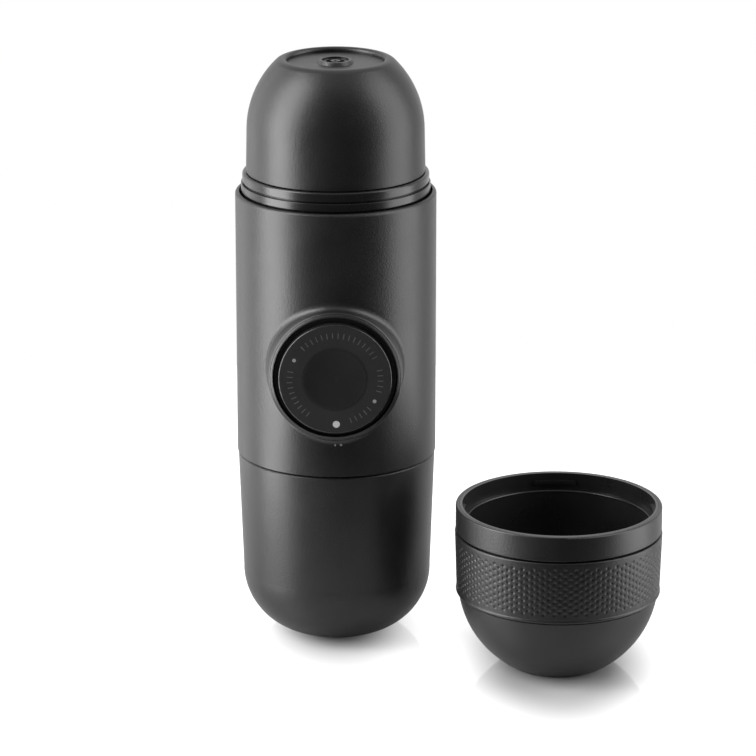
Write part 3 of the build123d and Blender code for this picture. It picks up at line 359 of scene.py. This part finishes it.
def grip_band():
    """Lathed band with a bead at its foot, dimples on its wall and a rounded top edge."""
    bm = bmesh.new()
    foot = BAND_BOTTOM + BAND_FOOT_GAP
    slope = (BAND_TOP_RADIUS - BAND_BOTTOM_RADIUS) / (BAND_TOP - foot)
    # A narrow bead runs round the lower edge, under the dimples.
    outline = [(BAND_CORE_RADIUS, foot, False)]
    for step in range(BEAD_STEPS + 1):
        turn = pi * step / BEAD_STEPS
        outline.append(
            (BAND_BOTTOM_RADIUS + BEAD_REACH * sin(turn), foot + BEAD_HEIGHT * (1 - cos(turn)) / 2, False)
        )
    plain_top = BAND_TOP - BAND_ROUND
    rows = ceil((plain_top - foot - BEAD_HEIGHT) / ROW_STEP)
    for row in range(1, rows + 1):
        z = foot + BEAD_HEIGHT + (plain_top - foot - BEAD_HEIGHT) * row / rows
        outline.append((BAND_BOTTOM_RADIUS + slope * (z - foot), z, True))
    for step in range(1, ROUND_STEPS + 1):
        turn = pi / 2 * step / ROUND_STEPS
        outline.append(
            (
                BAND_TOP_RADIUS - slope * BAND_ROUND - BAND_ROUND * (1 - cos(turn)),
                BAND_TOP - BAND_ROUND * (1 - sin(turn)),
                False,
            )
        )
    outline.append((BAND_CORE_RADIUS, BAND_TOP, False))
    steps = DIMPLE_COLUMNS * STEPS_PER_COLUMN
    rings = []
    for radius, z, textured in outline:
        ring = []
        for step in range(steps):
            inward = dimple_depth(step / STEPS_PER_COLUMN, BAND_TOP - z) if textured else 0.0
            angle = 2 * pi * step / steps
            ring.append(
                bm.verts.new(
                    (CUP_X + (radius - inward) * cos(angle), CUP_Y + (radius - inward) * sin(angle), z)
                )
            )
        rings.append(ring)
    for lower, upper in zip(rings, rings[1:] + rings[:1]):
        for step in range(steps):
            after = (step + 1) % steps
            bm.faces.new((lower[step], lower[after], upper[after], upper[step]))
    piece = mesh_object("dimpled_grip_band", bm, charcoal, "cup")
    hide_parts("cup_grip_band")
    return piece


grip_band()


# ------------------------------------------------------------------ rounded edges
RING_SEGMENTS = 200
LINER_STEP_DROP = 5.2 * MM
LINER_STEP_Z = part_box("cup_liner")[1].z - LINER_STEP_DROP
LINER_STEP_RADIUS = 26.4 * MM
LINER_EDGE = 0.35 * MM
LINER_EDGE_SIDES = 10
BOSS_FRONT_Y = -32.0 * MM
# Section of the lip round the knob's bore: radius, and height in front of the boss.
BORE_LIP = [
    (17.62 * MM, -0.6 * MM),
    (17.62 * MM, 0.42 * MM),
    (17.68 * MM, 0.52 * MM),
    (17.8 * MM, 0.5 * MM),
    (18.6 * MM, -0.2 * MM),
    (18.75 * MM, -0.4 * MM),
    (18.7 * MM, -0.9 * MM),
]


def ring_piece(name, outline, place, material, body):
    """Ring with a closed outline of (radius, along) points; place puts (across, up, along) in the frame."""
    bm = bmesh.new()
    rings = []
    for segment in range(RING_SEGMENTS):
        angle = 2 * pi * segment / RING_SEGMENTS
        ring = []
        for radius, along in outline:
            ring.append(bm.verts.new(place(radius * cos(angle), radius * sin(angle), along)))
        rings.append(ring)
    for near, far in zip(rings, rings[1:] + rings[:1]):
        for corner in range(len(outline)):
            after = (corner + 1) % len(outline)
            bm.faces.new((near[corner], near[after], far[after], far[corner]))
    bmesh.ops.recalc_face_normals(bm, faces=bm.faces)
    return mesh_object(name, bm, material, body)


def on_liner_step(across, up, along):
    """Lays a ring flat on the step inside the cup."""
    return (CUP_X + across, CUP_Y + up, LINER_STEP_Z + along)


def on_boss_front(across, up, along):
    """Stands a ring upright on the front of the boss."""
    return (across, BOSS_FRONT_Y - along, KNOB_AXIS_Z + up)


liner_bead = []
for side in range(LINER_EDGE_SIDES):
    turn = 2 * pi * side / LINER_EDGE_SIDES
    liner_bead.append((LINER_STEP_RADIUS + LINER_EDGE * cos(turn), LINER_EDGE * sin(turn)))
ring_piece("cup_liner_step_edge", liner_bead, on_liner_step, liner_black, "cup")
ring_piece("knob_bore_lip", BORE_LIP, on_boss_front, charcoal, "upper_body")

# ------------------------------------------------------------------ printed marks
PRINT_HEIGHT = 0.03 * MM
SHELL_RADIUS = 29.0 * MM
DISC_SIDES = 28


def printed_plates(name, outlines, material, body, lift):
    """Thin raised plates from flat outlines; lift places an outline's point (x, z) on the surface."""
    bm = bmesh.new()
    for outline in outlines:
        back = [bm.verts.new(lift(x, z, 0.0)) for x, z in outline]
        front = [bm.verts.new(lift(x, z, PRINT_HEIGHT)) for x, z in outline]
        bm.faces.new(front)
        bm.faces.new(back[::-1])
        for one in range(len(outline)):
            two = (one + 1) % len(outline)
            bm.faces.new((back[one], back[two], front[two], front[one]))
    bmesh.ops.recalc_face_normals(bm, faces=bm.faces)
    piece = mesh_object(name, bm, material, body)
    piece.data.shade_flat()
    return piece


def on_knob(x, z, out):
    """Puts a flat point on the knob's face."""
    return (x, KNOB_FRONT_Y - out, KNOB_AXIS_Z + z)


def on_shell(x, z, out):
    """Wraps a flat point round the body's front."""
    radius = SHELL_RADIUS + out
    return (radius * sin(x / radius), -radius * cos(x / radius), z)


def disc(x, z, radius):
    """Outline of a round dot."""
    outline = []
    for side in range(DISC_SIDES):
        turn = 2 * pi * side / DISC_SIDES
        outline.append((x + radius * cos(turn), z + radius * sin(turn)))
    return outline


def tick(angle, inner, outer, half_width):
    """Short radial bar on the knob's face."""
    along = (cos(radians(angle)), sin(radians(angle)))
    side = (-along[1] * half_width, along[0] * half_width)
    return [
        (along[0] * inner + side[0], along[1] * inner + side[1]),
        (along[0] * inner - side[0], along[1] * inner - side[1]),
        (along[0] * outer - side[0], along[1] * outer - side[1]),
        (along[0] * outer + side[0], along[1] * outer + side[1]),
    ]


DIAL_RADIUS = 12.9 * MM
DOT_ANGLES = (154, -30)
DOT_RADIUS = 0.55 * MM
MAIN_DOT_X = 0.3 * MM
MAIN_DOT_Z = -13.3 * MM
MAIN_DOT_RADIUS = 1.0 * MM
TICK_ARCS = [(30, 142), (170, 240), (290, 322), (-16, 16)]
TICK_PITCH = 7
TICK_INNER = 12.1 * MM
TICK_OUTER = 13.7 * MM
TICK_HALF_WIDTH = 0.14 * MM
POINTER_FOOT_Z = 64.4 * MM
LEFT_POINTER_TOP_Z = 65.5 * MM
RIGHT_POINTER_TOP_Z = 65.7 * MM

dots = []
for angle in DOT_ANGLES:
    dots.append(disc(DIAL_RADIUS * cos(radians(angle)), DIAL_RADIUS * sin(radians(angle)), DOT_RADIUS))
main_dot = [disc(MAIN_DOT_X, MAIN_DOT_Z, MAIN_DOT_RADIUS)]
ticks = []
for first, past_last in TICK_ARCS:
    for angle in range(first, past_last, TICK_PITCH):
        ticks.append(tick(angle, TICK_INNER, TICK_OUTER, TICK_HALF_WIDTH))
printed_plates("dial_main_dot", main_dot, print_light, "piston_knob", on_knob)
printed_plates("dial_dots", dots, print_soft, "piston_knob", on_knob)
printed_plates("dial_ticks", ticks, print_dim, "piston_knob", on_knob)
left_pointer = [(-0.4 * MM, POINTER_FOOT_Z), (0.2 * MM, POINTER_FOOT_Z), (0.05 * MM, LEFT_POINTER_TOP_Z)]
right_pointer = [
    (1.3 * MM, POINTER_FOOT_Z),
    (2.0 * MM, POINTER_FOOT_Z),
    (1.5 * MM, RIGHT_POINTER_TOP_Z),
    (1.15 * MM, RIGHT_POINTER_TOP_Z),
]
pointers = [left_pointer, right_pointer]
printed_plates("knob_pointer", pointers, print_soft, "upper_body", on_shell)

# ------------------------------------------------------------------ floor, light and background
TABLE_X = (-125 * MM, 170 * MM)
TABLE_Y = (-108 * MM, 260 * MM)
TABLE_TONES = (0.48, 0.5)
TABLE_PATCH = 200 * MM
TABLE_ROUGHNESS = 0.06
TABLE_IOR = 1.6
# Painted shadow: under each object the floor's white glow is dimmed. x, y, and the radii where the white
# glow begins and is full.
PAINTED_SHADOW_SPOTS = [(0.0, 0.0, 10 * MM, 50 * MM), (CUP_X, CUP_Y, 27 * MM, 62 * MM)]
SHADOW_SQUEEZE = (1.9, 1, 1)
NEAR_GLOW = 0.0
FAR_GLOW = 0.74
MIRROR_GLOW = 0.3


def floor_material():
    """White table that keeps the real shadows under both objects and mirrors them; its glow is dimmed round
    each object, a painted shadow that fades to plain white further out.
    """
    material, tree, surface = new_material("studio_floor")
    seen = add(tree, "ShaderNodeLightPath")
    where = object_coordinates(tree)
    slow = noise(tree, where, TABLE_PATCH, detail=2.0)
    darkest, lightest = [(tone, tone, tone) for tone in TABLE_TONES]
    tree.links.new(tint(tree, slow, darkest, lightest), surface.inputs["Base Color"])
    surface.inputs["Roughness"].default_value = TABLE_ROUGHNESS
    surface.inputs["IOR"].default_value = TABLE_IOR
    painted_shadow_glows = []
    # The glow is lowest at each object and rises outwards: a painted shadow under it.
    for x, y, near, far in PAINTED_SHADOW_SPOTS:
        offset = add(tree, "ShaderNodeVectorMath", {0: where, 1: (x, y, 0)}, operation="SUBTRACT")
        squeezed = add(
            tree,
            "ShaderNodeVectorMath",
            {0: offset.outputs["Vector"], 1: SHADOW_SQUEEZE},
            operation="MULTIPLY",
        )
        reach = add(tree, "ShaderNodeVectorMath", {0: squeezed.outputs["Vector"]}, operation="LENGTH")
        painted_shadow_glows.append(remap(tree, reach.outputs["Value"], near, far, NEAR_GLOW, FAR_GLOW, smooth=True))
    glow = calculate(tree, "MINIMUM", *painted_shadow_glows)
    mirrored = calculate(tree, "MULTIPLY", seen.outputs["Is Glossy Ray"], MIRROR_GLOW)
    either = calculate(tree, "MAXIMUM", seen.outputs["Is Camera Ray"], mirrored)
    looking = calculate(tree, "MAXIMUM", either, seen.outputs["Is Transmission Ray"])
    surface.inputs["Emission Color"].default_value = (1, 1, 1, 1)
    tree.links.new(calculate(tree, "MULTIPLY", looking, glow), surface.inputs["Emission Strength"])
    return material


floor_mesh = bpy.data.meshes.new("studio_floor")
bm = bmesh.new()
corners = [(0, 0), (1, 0), (1, 1), (0, 1)]
bm.faces.new([bm.verts.new((TABLE_X[across], TABLE_Y[along], 0)) for across, along in corners])
bm.to_mesh(floor_mesh)
bm.free()
floor_mesh.materials.append(floor_material())
floor = bpy.data.objects.new("studio_floor", floor_mesh)
scene.collection.objects.link(floor)


LAMP_TARGET = Vector((0.02, 0, 0.1))


def softbox(name, azimuth, elevation, distance, size, brightness):
    """Soft rectangular lamp that faces the object. Azimuth counts from the camera's side, to the right."""
    light = bpy.data.lights.new(name, "AREA")
    light.shape = "RECTANGLE"
    light.size, light.size_y = size
    light.energy = brightness * pi * size[0] * size[1]
    lamp = bpy.data.objects.new(name, light)
    turn, lift = radians(azimuth), radians(elevation)
    direction = Vector((sin(turn) * cos(lift), -cos(turn) * cos(lift), sin(lift)))
    lamp.location = LAMP_TARGET + distance * direction
    lamp.rotation_euler = direction.to_track_quat("Z", "Y").to_euler()
    scene.collection.objects.link(lamp)


SIDE_DISTANCE = 0.62
TOP_DISTANCE = 1.0

softbox("softbox_left", -75, 8, SIDE_DISTANCE, size=(0.4, 1.5), brightness=9.1)
softbox("softbox_rear_left", -119, 0, SIDE_DISTANCE, size=(0.4, 1.2), brightness=1.3)
softbox("softbox_right", 86, 8, SIDE_DISTANCE, size=(0.5, 1.5), brightness=3.7)
softbox("softbox_top", 0, 88, TOP_DISTANCE, size=(1.2, 1.2), brightness=0.6)

ROOM_LIGHT = 0.15
MIRRORED_FRONT = 0.06
MIRRORED_BACK = 1.0
FULL_BACK = 0.85


def studio_world():
    """White behind the object, dim in front of it where surfaces mirror it, and a low even room light."""
    world = bpy.data.worlds.new("studio")
    world.use_nodes = True
    tree = world.node_tree
    background = tree.nodes["Background"]
    seen = add(tree, "ShaderNodeLightPath")
    direction = add(tree, "ShaderNodeTexCoord").outputs["Generated"]
    depth = add(tree, "ShaderNodeSeparateXYZ", {"Vector": direction}).outputs["Y"]
    mirrored = calculate(tree, "MAXIMUM", seen.outputs["Is Glossy Ray"], seen.outputs["Is Transmission Ray"])
    light = add(tree, "ShaderNodeMix", data_type="FLOAT")
    tree.links.new(mirrored, light.inputs["Factor"])
    light.inputs["A"].default_value = ROOM_LIGHT
    tree.links.new(remap(tree, depth, 0.0, FULL_BACK, MIRRORED_FRONT, MIRRORED_BACK), light.inputs["B"])
    white = calculate(tree, "MAXIMUM", light.outputs["Result"], seen.outputs["Is Camera Ray"])
    background.inputs["Color"].default_value = (1, 1, 1, 1)
    tree.links.new(white, background.inputs["Strength"])
    return world


scene.world = studio_world()

scene.view_settings.view_transform = "Standard"
